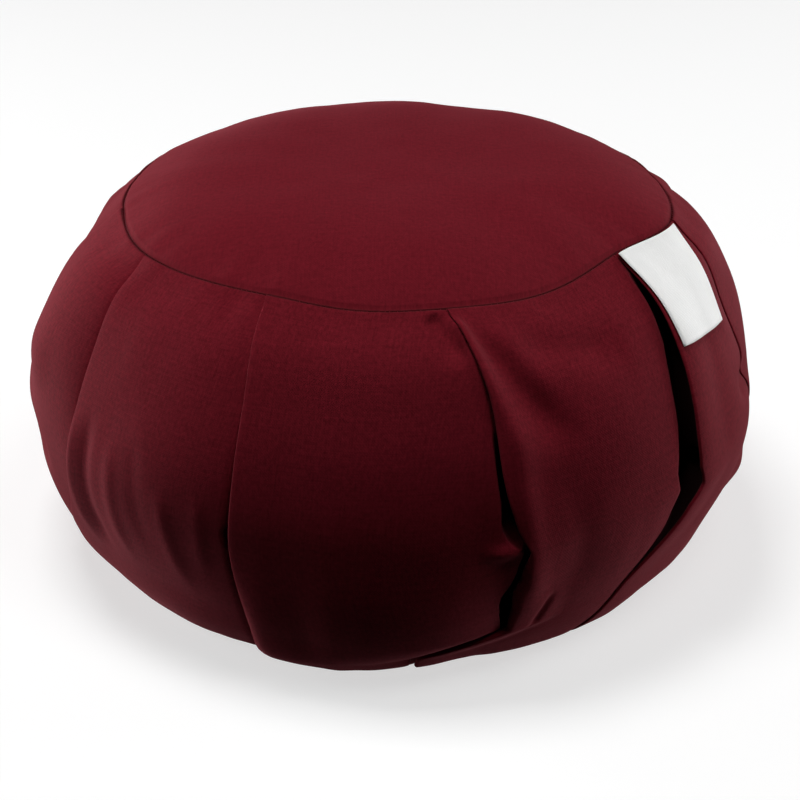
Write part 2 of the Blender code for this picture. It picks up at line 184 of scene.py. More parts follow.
# One row a panel, from its own pleat to the next. puff_*: how far its middle swells, drop: how far the
# top seam sags there.
Panel = namedtuple("Panel", "puff_high puff_waist puff_low drop")
PANELS = (
    Panel(8.0, 0.5, 2.0, 0.0),
    Panel(0.5, 1.5, -0.6, 0.0),
    Panel(0.5, 2.0, 10.0, 1.4),
    Panel(1.5, 2.5, 1.0, 2.3),
    Panel(2.0, 3.5, 0.0, 0.0),
    Panel(3.5, -0.5, 8.0, 0.0),
    Panel(5.0, 3.0, 4.0, 0.5),
    Panel(1.5, 2.0, 5.0, 1.0),
    Panel(1.5, 2.0, 3.0, 0.5),
    Panel(-3.0, 2.0, 5.0, 1.0),
    Panel(-5.0, 4.0, 4.0, 0.5),
)

# Ridges (rise above 0) and troughs (below 0) from one place on the band to another. fade: the share of
# its length in which it starts.
Crease = namedtuple("Crease", "start_deg start_share end_deg end_share width end_width fade rise")
CREASES = (
    Crease(280.9, 0.985, 289.9, 0.600, 2.5, 8, 0.10, 3.6),
    Crease(283.5, 0.965, 297.0, 0.640, 4, 9, 0.30, -4.0),
    Crease(289.0, 0.900, 313.0, 0.830, 9, 9, 0.30, -3.2),
    Crease(287.0, 0.740, 291.4, 0.240, 6, 7, 0.30, 1.8),
    Crease(296.5, 0.640, 299.5, 0.280, 8, 8, 0.30, -0.6),
    Crease(276.8, 0.990, 281.4, 0.860, 4, 5, 0.15, -3.0),
    Crease(294.8, 0.330, 292.0, 0.190, 2.2, 2.2, 0.30, -1.4),
    Crease(281.6, 0.466, 289.4, 0.466, 4, 4, 0.60, 3.2),
    Crease(335.0, 0.590, 354.0, 0.570, 5, 7, 0.30, -3.0),
    Crease(337.0, 0.350, 357.0, 0.340, 10, 10, 0.35, 3.6),
    Crease(312.0, 0.110, 345.0, 0.110, 7, 7, 0.35, -2.4),
    Crease(250.0, 0.085, 283.0, 0.085, 8, 8, 0.35, 1.3),
    Crease(285.0, 0.085, 306.0, 0.085, 8, 8, 0.35, 0.7),
    Crease(189.0, 0.660, 208.0, 0.660, 12, 12, 0.35, 2.2),
    Crease(188.0, 0.430, 206.0, 0.430, 9, 9, 0.35, -2.0),
    Crease(216.6, 0.640, 213.6, 0.220, 3, 4, 0.25, 0.9),
    Crease(220.2, 0.660, 217.6, 0.220, 4, 5, 0.25, -1.4),
    Crease(225.6, 0.620, 224.6, 0.260, 4, 5, 0.25, 0.8),
    Crease(230.2, 0.650, 231.6, 0.360, 4, 6, 0.25, -0.5),
    Crease(235.6, 0.560, 236.6, 0.260, 4, 5, 0.25, 0.7),
    Crease(242.3, 0.570, 241.4, 0.330, 4, 4, 0.25, 0.5),
    Crease(24.0, 0.920, 36.0, 0.550, 6, 12, 0.20, 2.4),
    Crease(28.0, 0.920, 43.0, 0.560, 6, 12, 0.20, -2.4),
    Crease(62.0, 0.550, 58.0, 0.150, 7, 8, 0.25, -2.0),
    Crease(66.0, 0.500, 65.0, 0.180, 5, 6, 0.25, 1.2),
    Crease(90.0, 0.960, 106.0, 0.600, 5, 11, 0.16, 2.6),
    Crease(94.0, 0.960, 112.0, 0.640, 5, 11, 0.20, -2.6),
    Crease(130.0, 0.600, 136.0, 0.150, 7, 8, 0.25, -2.0),
    Crease(141.0, 0.560, 144.0, 0.200, 5, 6, 0.25, 1.2),
    Crease(160.0, 0.940, 173.0, 0.620, 8, 11, 0.25, 2.0),
)
# The share of its length in which every one of them ends
CREASE_END = 0.35

# ---------------- how finely the cloth is made

# Rows up the side: millimetres from each seam where the cloth rolls in, then even steps
SEAM_ROWS = (0.0, 0.05, 0.2, 0.4, 0.8, 1.5, 2.5, 4.0)
SIDE_ROWS = 120
# The rows stand closer together round this share
CLOSE_SHARE = 0.47
CLOSE_REACH = 0.10
CLOSE_GAIN = 1.2
# Columns round each half of a lip, over each panel and down its dive to the next lip
LIP_TURNS = 5
LIP_QUARTER = np.linspace(0, np.pi / 2, LIP_TURNS)
PANEL_COLUMNS = (30, 64, 60, 76, 40, 20, 20, 20, 20, 20, 20)
DIVE_COLUMNS = (8, 8, 8, 9, 8, 6, 6, 6, 6, 6, 6)
# Before a pleat with a hollow: columns over the wall of the hollow and over its floor
WALL_COLUMNS = 7
FLOOR_COLUMNS = 6
LIP_RADIUS = 0.8
# The slot behind a lip: its columns as shares of the tuck, how much deeper it ends than it starts, how far
# apart its two walls stay, and how square its end is
SLOT_COLUMNS = (0.15, 0.45, 0.8, 1.0)
SLOT_DEPTH = 0.6
SLOT_GAP = 0.5
SLOT_SQUARE = 8
# Within SHUT_SHARE of a seam the fold is sewn shut: its cloth is drawn in to SHUT_SLOT, counted from the
# lip, and the lip loses most of its roll
SHUT_SHARE = 0.035
SHUT_SLOT = (-0.55, -0.1)
SHUT_ROLL_LOSS = 0.8
# How far from a lip's edge its wear and painted highlight reach
WEAR_AND_HIGHLIGHT_REACH = 0.8
# The roll of the band's cloth into a seam
SEAM_ROLL = 1.2
SEAM_ROLL_DEPTH = 0.8
# Painted shade in the top seam's groove: how dark the cloth is painted at the seam, and how far from it
# that reaches. The top panel's cloth meets it SEAM_EDGE inside the seam line.
SEAM_PAINTED_SHADE = 0.55
SEAM_PAINTED_SHADE_REACH = 0.45
SEAM_EDGE = 1.0


def smooth(x):
    x = np.clip(x, 0.0, 1.0)
    return x * x * (3 - 2 * x)


def through(stations, values, at):
    """A smooth curve through values at stations, read at the given places."""
    stations = np.asarray(stations, float)
    values = np.asarray(values, float)
    slope = np.gradient(values, stations)
    k = np.clip(np.searchsorted(stations, at) - 1, 0, len(stations) - 2)
    step = stations[k + 1] - stations[k]
    u = (at - stations[k]) / step
    return (
        values[k] * (1 + 2 * u) * (1 - u) ** 2
        + values[k + 1] * u * u * (3 - 2 * u)
        + step * slope[k] * u * (1 - u) ** 2
        - step * slope[k + 1] * u * u * (1 - u)
    )


def profile(share):
    """(radius, height, outward radial part, outward upward part) of the side at a share of its way up."""
    points = np.array(PROFILE)
    shares = np.concatenate([[0], PROFILE_WAY]) / SIDE_LENGTH
    step = 0.002
    low, here, high = (
        np.array([through(shares, points[:, k], np.clip(share + d, 0, 1)) for k in (0, 1)])
        for d in (-step, 0.0, step)
    )
    along = high - low
    along /= np.hypot(along[0], along[1])
    return here[0], here[1], along[1], -along[0]


def kink_deg(i, share):
    """How far the corners in pleat i's lip turn it from its smooth line."""
    return sum(
        k.turn * np.maximum(1 - np.abs(share - k.share) / k.reach, 0)
        for k in KINKS if k.pleat == i % PANEL_COUNT
    )


def lip_deg(i, share):
    """Angle of pleat i's lip at a share of the way up, counted on past 360 when i wraps round."""
    p = PLEATS[i % PANEL_COUNT]
    stations = (p.foot_deg, p.low_deg, p.waist_deg, p.mid_deg, p.high_deg, p.seam_deg)
    return through(ANGLE_SHARES, stations, share) + kink_deg(i, share) + 360 * (i // PANEL_COUNT)


def deg_per_mm(share):
    return np.degrees(1 / profile(share)[0])


def panel_width(i, share):
    """Millimetres from pleat i's lip to the next."""
    return (lip_deg(i + 1, share) - lip_deg(i, share)) / deg_per_mm(share)


def stand(i, share):
    """How far the side stands out on both sides of pleat i."""
    return PLEATS[i % PANEL_COUNT].stand * through(STAND_SHARES, STAND_RISE, share)


def rise_at(sewn, low, waist, high, share):
    """A rise read at a share, from its values at both seams and at the three heights between them."""
    return through(RISE_SHARES, (sewn, low, waist, high, sewn), share)


def seam_point(deg):
    """(radius, height) of the top seam: nearly a circle, drawn straighter between pleats and sagging."""
    deg = np.asarray(deg, float)
    radius = np.zeros(deg.shape)
    height = np.full(deg.shape, SEAM_HEIGHT)
    for i, panel in enumerate(PANELS):
        a, b = lip_deg(i, 1.0), lip_deg(i + 1, 1.0)
        q = ((deg - a) % 360) / (b - a)
        here = q < 1
        start = PLEATS[i].seam_radius
        end = PLEATS[(i + 1) % PANEL_COUNT].seam_radius
        radius[here] = (start + (end - start) * smooth(q))[here]
        height[here] -= (panel.drop * np.sin(np.pi * q) ** 2)[here]
    return radius, height


def crease_rise(deg, share):
    """The sum of the creases at a place on the band."""
    total = np.zeros(np.broadcast(deg, share).shape)
    for c in CREASES:
        radius = profile(0.5 * (c.start_share + c.end_share))[0]
        run = np.array([np.radians(c.end_deg - c.start_deg) * radius,
                        (c.end_share - c.start_share) * SIDE_LENGTH])
        length = np.hypot(*run)
        run /= length
        x = np.radians((deg - c.start_deg + 180) % 360 - 180) * radius
        y = (share - c.start_share) * SIDE_LENGTH
        along = (x * run[0] + y * run[1]) / length
        across = x * run[1] - y * run[0]
        width = c.width + (c.end_width - c.width) * np.clip(along, 0, 1)
        fade = smooth(along / c.fade) * smooth((1 - along) / CREASE_END)
        total += c.rise * fade * np.exp(-((across / width) ** 2))
    return total


def hollow(i, share):
    """(width, depth, wall, roll) of the hollow before pleat i, with no depth where there is none."""
    rows = [h for h in HOLLOWS if h.pleat == i % PANEL_COUNT]
    if not rows:
        return 0.0, 0.0, LEAST_WALL, 0.0
    stations = [h.share for h in rows]
    width, depth, wall, roll = (
        np.interp(share, stations, [getattr(h, k) for h in rows], left=0, right=0)
        for k in ("width", "depth", "wall", "roll")
    )
    return width, depth, np.maximum(wall, LEAST_WALL), roll


def dive_width(i, share):
    """Width of the dive before pleat i, which starts on a smooth line past the lip's corners."""
    n = PLEATS[i % PANEL_COUNT]
    corner = np.radians(np.maximum(kink_deg(i, share), 0)) * profile(share)[0]
    return n.wide_low + (n.wide - n.wide_low) * smooth((share - LOW_END) / DIVE_CHANGE) + corner


def lip_lift(i, share):
    """How far pleat i's lip stands off the side there."""
    p = PLEATS[i % PANEL_COUNT]
    return rise_at(SEWN_LIFT, p.lift_low, p.lift_waist, p.lift_high, share)


def lip_roll(i, share):
    """Radius of the turn of pleat i's lip."""
    return LIP_RADIUS + hollow(i, share)[3]


def outer_rise(i, from_lip, to_next, share):
    """How far panel i's cloth stands off the profile, at millimetres from its lip and to the next."""
    n, panel = PLEATS[(i + 1) % PANEL_COUNT], PANELS[i % PANEL_COUNT]
    q = np.clip(from_lip / (from_lip + to_next), 0, 1)
    puff = rise_at(0.0, panel.puff_low, panel.puff_waist, panel.puff_high, share)
    valley = rise_at(SEWN_VALLEY, n.valley_low, n.valley_waist, n.valley_high, share)
    dive = 1 - np.clip(to_next / dive_width(i + 1, share), 0, 1)
    width, depth, wall, _ = hollow(i + 1, share)
    inside = smooth((width + wall - to_next) / wall)
    power = LOW_PUFF_POWER + PUFF_POWER_GAIN * smooth((share - LOW_END) / PUFF_CHANGE)
    return (
        stand(i, share) * (1 - smooth(q))
        + stand(i + 1, share) * smooth(q)
        + puff * np.sin(np.pi * q) ** power
        + lip_lift(i, share) * (1 - smooth(from_lip / LIFT_REACH))
        - valley * (1 - np.sqrt(1 - STEEPEST_DIVE * dive**2))
        - depth * inside
    )


# ---------------- small irregularity


def between_knots(knots, x0, x1, y0, u, v):
    """The value at shares u and v of the way between four knots."""
    low = knots[y0, x0] * (1 - u) + knots[y0, x1] * u
    high = knots[y0 + 1, x0] * (1 - u) + knots[y0 + 1, x1] * u
    return low * (1 - v) + high * v


def lattice(around, up, seed):
    """A smooth random field over angle and share, from -1 to 1, that closes on itself all round."""
    knots = np.random.default_rng(seed).uniform(-1, 1, (up + 3, around))

    def read(deg, share):
        x = (deg / 360.0 * around) % around
        y = np.clip(share, 0, 1) * up
        x0, y0 = np.floor(x).astype(int), np.floor(y).astype(int)
        x1 = (x0 + 1) % around
        return between_knots(knots, x0 % around, x1, y0, smooth(x - x0), smooth(y - y0))

    return read


LUMPS = lattice(13, 4, 11)
SMALL_LUMPS = lattice(34, 8, 12)
STREAKS = lattice(120, 5, 13)
PUCKERS = lattice(96, 1, 14)
FINE_PUCKERS = lattice(210, 1, 15)
LUMP_RISE = 1.1
SMALL_LUMP_RISE = 0.5
STREAK_RISE = 0.22
PUCKER_RISE = 0.75
FINE_PUCKER_RISE = 0.3
# How much of its rise a streak has half way up, and how much more at a whole share from there
STREAK_LEAST = 0.4
STREAK_GAIN = 1.2
# How far from a seam the lumps and streaks reach their full rise
CALM_REACH = 14
# How close to a seam the gathers start, and how far they reach
PUCKER_START = 1.5
PUCKER_REACH = 9.0
FINE_PUCKER_REACH = 4.5
# The bottom seam and the top panel have the top seam's gathers, turned round by so many degrees
FOOT_PUCKER_TURN = 57
TOP_PUCKER_TURN = 31


def pucker_rise(deg, from_seam):
    """The gathers that a seam pulls into the cloth beside it."""
    near = from_seam / (from_seam + PUCKER_START)
    return near * (
        PUCKER_RISE * PUCKERS(deg, 0 * deg) * np.exp(-from_seam / PUCKER_REACH)
        + FINE_PUCKER_RISE * FINE_PUCKERS(deg, 0 * deg) * np.exp(-from_seam / FINE_PUCKER_REACH)
    )


def band_detail(deg, share):
    """The irregularity of the band's cloth at a place on it."""
    from_top = (1 - share) * SIDE_LENGTH
    from_foot = share * SIDE_LENGTH
    fade = smooth(from_top / CALM_REACH) * smooth(from_foot / CALM_REACH)
    return (
        fade * (LUMP_RISE * LUMPS(deg, share) + SMALL_LUMP_RISE * SMALL_LUMPS(deg, share))
        + fade * STREAK_RISE * STREAKS(deg, share) * (STREAK_LEAST + STREAK_GAIN * np.abs(share - 0.5))
        + pucker_rise(deg, from_top)
        + pucker_rise(deg + FOOT_PUCKER_TURN, from_foot)
    )


# ---------------- meshes


def new_object(name, data):
    made = bpy.data.objects.new(name, data)
    bpy.context.scene.collection.objects.link(made)
    return made


def new_piece(name, points, faces, material, uvs):
    """A smooth-shaded mesh object. uvs is one (u, v) for each point, in millimetres of cloth."""
    mesh = bpy.data.meshes.new(name)
    mesh.from_pydata((np.asarray(points) * MM).tolist(), [], faces)
    mesh.materials.append(material)
    mesh.shade_smooth()
    layer = mesh.uv_layers.new(name="weave")
    corner = np.zeros(len(mesh.loops), dtype=np.int32)
    mesh.loops.foreach_get("vertex_index", corner)
    layer.data.foreach_set("uv", (np.asarray(uvs)[corner] * MM).ravel())
    mesh.update()
    return new_object(name, mesh)


def ring_faces(ring_count, count):
    """The faces between rings of count points, each joined to the next."""
    k = np.arange(ring_count - 1)[:, None] * count
    j = np.arange(count)[None, :]
    a, b = k + j, k + (j + 1) % count
    return np.stack([a, b, b + count, a + count], -1).reshape(-1, 4).tolist()


def ring_piece(name, rings, material, uvs):
    """A closed piece from rings of equal length, from the underside's middle round to the top's."""
    count = len(rings[0])
    faces = ring_faces(len(rings), count)
    points = np.concatenate([*rings, [np.mean(rings[0], axis=0)], [np.mean(rings[-1], axis=0)]])
    uvs = np.concatenate([*uvs, [np.mean(uvs[0], axis=0)], [np.mean(uvs[-1], axis=0)]])
    low, high = len(points) - 2, len(points) - 1
    last = (len(rings) - 1) * count
    for j in range(count):
        faces.append(((j + 1) % count, j, low))
        faces.append((last + j, last + (j + 1) % count, high))
    return new_piece(name, points, faces, material, uvs)


def round_points(degs, r, z):
    """Points at these angles, radii and heights."""
    turn = np.radians(degs)
    return np.stack([r * np.cos(turn), r * np.sin(turn), z + 0 * r], axis=-1)


def row_shares():
    """The share of the way up of each row of the band."""
    near = np.array(SEAM_ROWS) / SIDE_LENGTH
    fine = np.linspace(near[-1], 1 - near[-1], 2000)
    weight = np.cumsum(1 + CLOSE_GAIN * np.exp(-(((fine - CLOSE_SHARE) / CLOSE_REACH) ** 2)))
    weight -= weight[0]
    middle = np.interp(np.linspace(0, weight[-1], SIDE_ROWS), weight, fine)
    return np.concatenate([near[:-1], middle, 1 - near[-2::-1]])


def outer_columns(i, width, roll, share):
    """Millimetres from pleat i's lip to each column of the cloth that shows on its panel."""
    hollow_width, _, wall, _ = hollow(i + 1, share)
    wide = dive_width(i + 1, share) + hollow_width
    dive_count = DIVE_COLUMNS[i % PANEL_COUNT]
    if any(h.pleat == (i + 1) % PANEL_COUNT for h in HOLLOWS):
        wall_end = np.maximum(hollow_width, LEAST_FLOOR)
        wall_start = wall_end + wall
        wide = np.maximum(wide, wall_start + LEAST_DIVE)
        over_dive, over_wall, over_floor = (
            np.linspace(1, 0, count + 1)[1:] for count in (dive_count, WALL_COLUMNS, FLOOR_COLUMNS)
        )
        to_next = np.concatenate([
            wall_start + (wide - wall_start) * over_dive,
            wall_end + wall * over_wall,
            wall_end * over_floor,
        ], axis=1)
    else:
        to_next = wide * (1 - np.sin(np.linspace(0, np.pi / 2, dive_count + 1)[1:]))
    panel_count = PANEL_COLUMNS[i % PANEL_COUNT]
    over_panel = np.arange(1, panel_count + 1) / panel_count
    return np.concatenate([
        roll * (1 - np.cos(LIP_QUARTER)),
        roll + (width - wide - roll) * over_panel,
        width - to_next,
    ], axis=1)


def fold_columns(i, floor, under_roll, share):
    """(millimetres past the next lip, rises) of the cloth folded under it, from panel i's edge on.

    It runs to the end of the slot, back along the slot's roof and up round the lip's lower half.
    """
    tuck = PLEATS[(i + 1) % PANEL_COUNT].tuck
    slot = np.array(SLOT_COLUMNS)
    back = slot[::-1]
    slot_end = floor - SLOT_DEPTH
    low = slot_end + SLOT_GAP
    from_end = panel_width(i + 1, share) - tuck * back
    roof = outer_rise(i + 1, tuck * back, from_end, share) - 2 * under_roll
    turn = np.linspace(-np.pi / 2, 0, LIP_TURNS)[:-1]
    lift = stand(i + 1, share) + lip_lift(i + 1, share)
    under_rise = lift - under_roll * (1 - np.sin(turn))
    x = np.concatenate([
        tuck * slot + 0 * share,
        tuck * back + 0 * share,
        under_roll * (1 - np.cos(turn)),
    ], axis=1)
    rise = np.concatenate([
        floor + (slot_end - floor) * slot,
        low + np.maximum(roof - low, 0) * (1 - back**SLOT_SQUARE),
        np.maximum(under_rise, floor + SLOT_GAP),
    ], axis=1)
    return x, rise


def panel_grid(i, share):
    """(angles, rises, cloth distance, wear and highlight, painted shade) over panel i and the fold under
    the next lip.

    Each is a row for each share. The wear and highlight is 1 on the lip's edge: wear, and a painted
    highlight where the fold's edge catches the light. The painted shade is 1 deep in the fold, where shade
    falls, fades round the lip's under roll, and darkens the cloth before a deep hollow.
    """
    a, b = lip_deg(i, share), lip_deg(i + 1, share)
    per_mm = deg_per_mm(share)
    width = panel_width(i, share)
    sewn = 1 - smooth(share / SHUT_SHARE) * smooth((1 - share) / SHUT_SHARE)
    roll, under_roll = (lip_roll(j, share) * (1 - SHUT_ROLL_LOSS * sewn) for j in (i, i + 1))

    outer = outer_columns(i, width, roll, share)
    degs = a + outer * per_mm
    rises = outer_rise(i, outer, width - outer, share)
    rises += crease_rise(degs, share) + band_detail(degs, share)
    rises[:, :LIP_TURNS] -= roll * (1 - np.sin(LIP_QUARTER))

    floor = outer_rise(i, width, 0 * width, share)
    fold_x, fold_rise = fold_columns(i, floor, under_roll, share)
    # The lip's edge is painted lighter: wear, and a painted highlight where the fold's edge catches the
    # light
    under_wear_and_highlight = np.exp(-((fold_x[:, 1 - LIP_TURNS:] / WEAR_AND_HIGHLIGHT_REACH) ** 2))
    fold_x = fold_x * (1 - sewn) + np.linspace(*SHUT_SLOT, fold_x.shape[1]) * sewn
    fold_rise = fold_rise * (1 - sewn) + floor * sewn
    fold_degs = b + fold_x * per_mm
    fold_rise += crease_rise(fold_degs, share) + band_detail(fold_degs, share)
    fold_length = 2 * PLEATS[(i + 1) % PANEL_COUNT].tuck
    fold_cloth = width + np.linspace(1, fold_length, fold_x.shape[1])

    hidden = np.zeros((len(share), fold_x.shape[1] - under_wear_and_highlight.shape[1]))
    wear_and_highlight = np.concatenate([np.exp(-((outer / WEAR_AND_HIGHLIGHT_REACH) ** 2)), hidden, under_wear_and_highlight], axis=1)
    # Painted shade: deep in the fold, fading round the lip's under roll, and on the cloth before a deep
    # hollow
    hollow_width, depth, wall, _ = hollow(i + 1, share)
    near_hollow = 1 - (width - outer) / (hollow_width + wall * (1 + PAINTED_SHADE_REACH))
    outer_painted_shade = depth / FULL_SHADE_DEPTH * smooth(near_hollow)
    under_painted_shade = np.linspace(1, 0, LIP_TURNS)[:-1] + 0 * share
    painted_shade = np.concatenate([outer_painted_shade, hidden + 1, under_painted_shade], axis=1)
    return (
        np.concatenate([degs, fold_degs], axis=1),
        np.concatenate([rises, fold_rise], axis=1),
        np.concatenate([outer, fold_cloth], axis=1),
        wear_and_highlight * (1 - sewn),
        painted_shade * (1 - sewn),
    )


def band_points(degs, rises, share):
    """Points on the band: the profile, moved to the seam's own line near the top."""
    radius, height, out, up = profile(share)
    seam_radius, seam_height = seam_point(degs)
    near_seam = smooth((share - SEAM_SHARE) / (1 - SEAM_SHARE))
    r = radius + rises * out + (seam_radius - SEAM_RADIUS) * near_seam
    z = height + rises * up + (seam_height - SEAM_HEIGHT) * near_seam
    return round_points(degs, r, np.maximum(z, LOWEST_BAND))


def seam_roll(from_seam):
    """How far the cloth sinks as it rolls into a seam."""
    d = 1 - np.clip(from_seam / SEAM_ROLL, 0, 1)
    return SEAM_ROLL_DEPTH * (1 - np.sqrt(1 - STEEPEST_ROLL * d * d))


def seam_painted_shade(from_seam):
    """How dark the cloth is painted where it meets the seam: painted shade in the seam's groove."""
    return SEAM_PAINTED_SHADE * np.exp(-((from_seam / SEAM_PAINTED_SHADE_REACH) ** 2))


def paint(piece, name, values):
    """Keeps one value a point on the piece, for its material."""
    layer = piece.data.attributes.new(name, "FLOAT", "POINT")
    layer.data.foreach_set("value", np.asarray(values, np.float32))


# (inset, depth) of each ring of the band's hem under the top seam, then how the band goes on under the
# crown: rings at these ratios of the seam's radius, this far down
BAND_HEM = ((0.3, 1.2), (0.4, 2.6), (0.8, 3.7), (3.4, 3.5))
UNDER_CROWN_RATIOS = (0.95, 0.8, 0.5)
UNDER_CROWN = 3.4
# The ring by which the band ends over the bottom panel
FOOT_HEM_OUTSET = 0.4
FOOT_HEM_HEIGHT = 2.4


def build_band(material):
    """The pleated band, closed under the crown and over the bottom panel."""
    share = row_shares()[:, None]
    degs, rises, cloths, wear_and_highlight, painted_shade = zip(*(panel_grid(i, share) for i in range(PANEL_COUNT)))
    degs, rises, wear_and_highlight, painted_shade = (np.concatenate(part, axis=1) for part in (degs, rises, wear_and_highlight, painted_shade))
    rises -= seam_roll((1 - share) * SIDE_LENGTH)
    rises -= seam_roll(share * SIDE_LENGTH)
    start = np.cumsum([0] + [float(part[len(share) // 2, -1]) for part in cloths])
    cloth = np.concatenate([part + s for part, s in zip(cloths, start)], axis=1)
    # Painted shade along the top seam's groove, besides that in the folds
    painted_shade = np.maximum(painted_shade, seam_painted_shade((1 - share) * SIDE_LENGTH))
    rings = list(band_points(degs, rises, share))
    uvs = [np.stack([c, v + 0 * c], -1) for c, v in zip(cloth, share * SIDE_LENGTH)]

    seam_degs, foot_degs = degs[-1], degs[0]
    seam_radius, seam_height = seam_point(seam_degs)
    for inset, below in BAND_HEM:
        rings.append(round_points(seam_degs, seam_radius - inset, seam_height - below))
    for ratio in UNDER_CROWN_RATIOS:
        z = SEAM_HEIGHT + CROWN_RISE * (1 - ratio**CROWN_POWER) - UNDER_CROWN
        sag = (seam_height - SEAM_HEIGHT) * ratio**2
        rings.append(round_points(seam_degs, seam_radius * ratio, z + sag))
    foot_radius = BOTTOM_RADIUS + FOOT_HEM_OUTSET + 0 * foot_degs
    rings.insert(0, round_points(foot_degs, foot_radius, FOOT_HEM_HEIGHT))
    below, above = 1, len(rings) - 1 - len(wear_and_highlight)
    uvs = [uvs[0]] * below + uvs + [uvs[-1]] * above
    made = ring_piece("cushion_band", rings, material, uvs)
    # Kept on the points: the lip edges' wear and painted highlight, and the painted shade
    for name, values in (("wear_and_highlight", wear_and_highlight), ("painted_shade", painted_shade)):
        paint(made, name, np.append(np.pad(values, ((below, above), (0, 0))), (0, 0)))
    return made


TOP_COLUMNS = 420
TOP_RINGS = 52
TOP_CLOTH = 2.0
# The rings of the top panel: ratios of the seam's radius over its underside, (inset, depth) from the seam
# round its rim, insets as it rolls up out of the seam, then ratios again, from the first to the last
TOP_UNDERSIDE = (0.1, 0.35, 0.6, 0.8, 0.93)
TOP_RIM = (
    (2.6, 2.3), (1.7, 2.4), (1.1, 2.2), (0.95, 1.4), (0.95, 0.7),
    (1.1, 0.3), (1.4, 0.1), (1.8, 0.01),
)
TOP_ROLL = (2.4, 3.2, 4.4)
TOP_RATIOS = (0.955, 0.03)
TOP_LUMPS = np.random.default_rng(21).uniform(-1, 1, (12, 12))
TOP_LUMP_STEP = 34.0
TOP_LUMP_RISE = 0.4
TOP_SMALL_LUMPS = np.random.default_rng(22).uniform(-1, 1, (24, 24))
TOP_SMALL_LUMP_STEP = 15.0
TOP_SMALL_LUMP_RISE = 0.12
TOP_CALM_REACH = 12


def flat_lattice(knots, step, x, y):
    """A smooth random field over the flat, from -1 to 1, with its knots step millimetres apart."""
    x, y = x / step + len(knots) / 2, y / step + len(knots) / 2
    x0, y0 = np.floor(x).astype(int), np.floor(y).astype(int)
    return between_knots(knots, x0, x0 + 1, y0, smooth(x - x0), smooth(y - y0))


def top_height(degs, ratio):
    """Height of the top panel's cloth at a ratio of the seam's radius."""
    seam_radius, seam_height = seam_point(degs)
    x, y = (seam_radius * ratio * f(np.radians(degs)) for f in (np.cos, np.sin))
    z = SEAM_HEIGHT + (seam_height - SEAM_HEIGHT) * ratio**2 + CROWN_RISE * (1 - ratio**CROWN_POWER)
    from_seam = seam_radius * (1 - ratio)
    lumps = TOP_LUMP_RISE * flat_lattice(TOP_LUMPS, TOP_LUMP_STEP, x, y)
    lumps += TOP_SMALL_LUMP_RISE * flat_lattice(TOP_SMALL_LUMPS, TOP_SMALL_LUMP_STEP, x, y)
    z += smooth(from_seam / TOP_CALM_REACH) * lumps
    z += pucker_rise(degs + TOP_PUCKER_TURN, from_seam)
    return z


def build_top(material):
    """The crowned top panel: a thin sheet whose rim rolls down into the seam."""
    degs = np.linspace(0, 360, TOP_COLUMNS, endpoint=False)
    seam_radius, seam_height = seam_point(degs)
    course = [(seam_radius * k, top_height(degs, k) - TOP_CLOTH) for k in TOP_UNDERSIDE]
    course += [(seam_radius - inset, seam_height - below) for inset, below in TOP_RIM]
    course += [(seam_radius - inset, top_height(degs, 1 - inset / seam_radius)) for inset in TOP_ROLL]
    course += [(seam_radius * k, top_height(degs, k)) for k in np.linspace(*TOP_RATIOS, TOP_RINGS)]
    rings = [round_points(degs, r, z) for r, z in course]
    made = ring_piece("cushion_top", rings, material, [ring[:, :2] for ring in rings])
    inset = seam_radius - np.hypot(*np.moveaxis(np.array(rings)[..., :2], -1, 0))
    # Painted shade where the top's rim rolls down into the seam's groove
    paint(made, "painted_shade", np.append(seam_painted_shade(np.maximum(inset - SEAM_EDGE, 0)), (0, 0)))
    return made


STITCHES = 320
STITCH_WIDTH = 0.45
# How far a stitch may stray from its place, as a share of the pitch, and sink. Each leans by STITCH_LEAN
# along the seam, give or take STITCH_LEAN_STRAY.
STITCH_STRAY = 0.18
STITCH_SINK = 0.12
STITCH_LEAN = 0.35
STITCH_LEAN_STRAY = 0.2
# How much of the weave it takes: for each corner round it, and for each point along it
STITCH_WEAVE = (0.3, 0.6)
# A stitch's course over the seam: out from the seam line, and down
STITCH_COURSE = ((0.9, 1.3), (0.3, 0.75), (-0.4, 0.6), (-1.1, 0.75), (-1.8, 1.2))


def build_stitches(material):
    """The row of stitches across the top seam."""
    points, faces, uvs = [], [], []
    wander = np.random.default_rng(31).uniform(-1, 1, (STITCHES, 3))
    for k in range(STITCHES):
        deg = 360 * (k + STITCH_STRAY * wander[k, 0]) / STITCHES
        lean = np.degrees((STITCH_LEAN + STITCH_LEAN_STRAY * wander[k, 1]) / SEAM_RADIUS)
        half = np.degrees(0.5 * STITCH_WIDTH / SEAM_RADIUS)
        sunk = STITCH_SINK * wander[k, 2]
        first = len(points)
        for j, (out, down) in enumerate(STITCH_COURSE):
            here = deg + lean * (j / 2 - 1)
            degs = here + half * np.array((-1, 0, 1, 0))
            lift = STITCH_WIDTH * np.array((0, 0.5, 0, -0.5))
            radius, height = seam_point(degs)
            points.extend(round_points(degs, radius + out, height - down - sunk + lift))
            uvs.extend((STITCH_WEAVE[0] * c, STITCH_WEAVE[1] * j) for c in range(4))
        sides = first + np.array(ring_faces(len(STITCH_COURSE), 4))
        faces.extend(sides.tolist())
        last = first + 4 * (len(STITCH_COURSE) - 1)
        faces.append((first + 3, first + 2, first + 1, first))
        faces.append((last, last + 1, last + 2, last + 3))
    return new_piece("seam_thread", points, faces, material, uvs)


BOTTOM_COLUMNS = 240
# (radius, height) of the bottom panel's rings, from under its middle out round its rim and in over it
BOTTOM_COURSE = (
    (60, 0.0), (110, 0.0), (128, 0.0), (130.6, 0.15), (131.6, 0.5),
    (131.9, 1.0), (131.5, 1.6), (130.5, 2.0), (90, 2.0),
)


